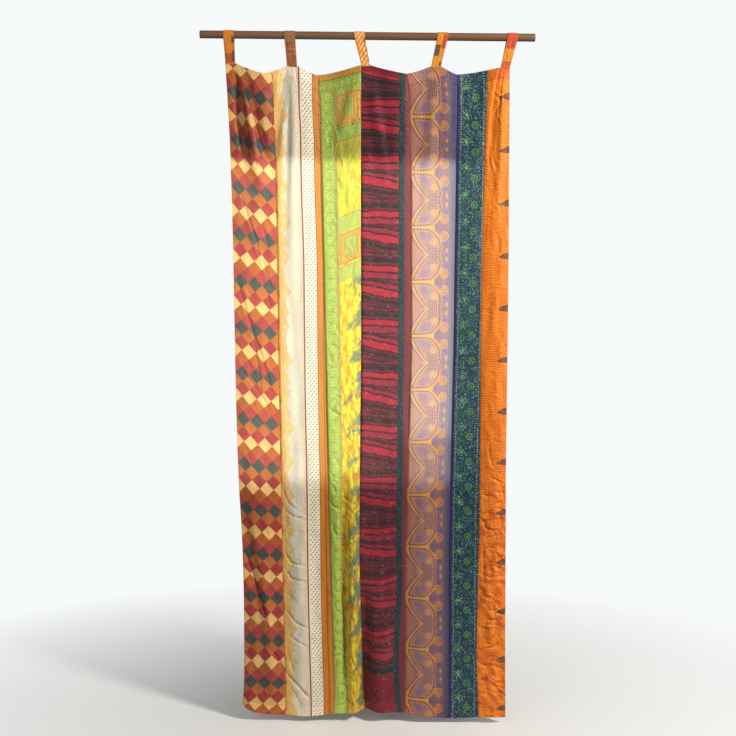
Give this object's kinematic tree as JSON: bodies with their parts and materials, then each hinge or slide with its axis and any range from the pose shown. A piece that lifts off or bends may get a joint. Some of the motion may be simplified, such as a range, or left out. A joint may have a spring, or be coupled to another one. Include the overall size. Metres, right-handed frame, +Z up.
{
  "type": "patchwork curtain and rod",
  "caption": "Tab-top curtain sewn from long strips of printed cloth, hanging from a plain round wooden rod",
  "frame": {"origin": "on the rod's axis at the middle of the rod's length", "axes": "+Z up, +X along the rod to the right as seen from the front, the front of the cloth faces -Y"},
  "size_m": [1.2, 0.0646, 2.5499],
  "materials": {
    "rod_wood": "satin varnished brown wood",
    "cloth_diamond": "soft silky cloth printed with diamonds",
    "cloth_cream": "cream silky cloth with gold and red borders",
    "cloth_yellow": "yellow silky cloth with a lime green border",
    "cloth_stripe": "dark red silky cloth with black wavy stripes",
    "cloth_leaf": "mauve cloth with orange leaf shapes",
    "cloth_sprig": "navy cloth with small green sprigs",
    "cloth_orange": "bright orange silky cloth with fine broken lines",
    "cloth_tab": "orange printed cloth, folded and sewn",
    "cloth_tab_rust": "rust brown ribbed cloth, folded and sewn"
  },
  "bodies": {
    "root": {"rod": "rod_wood", "strip_diamond": "cloth_diamond", "strip_cream": "cloth_cream", "strip_yellow": "cloth_yellow", "strip_stripe": "cloth_stripe", "strip_leaf": "cloth_leaf", "strip_sprig": "cloth_sprig", "strip_orange": "cloth_orange", "tab_1": "cloth_tab", "tab_2": "cloth_tab_rust", "tab_3": "cloth_tab", "tab_4": "cloth_tab", "tab_5": "cloth_tab"}
  },
  "joints": []
}
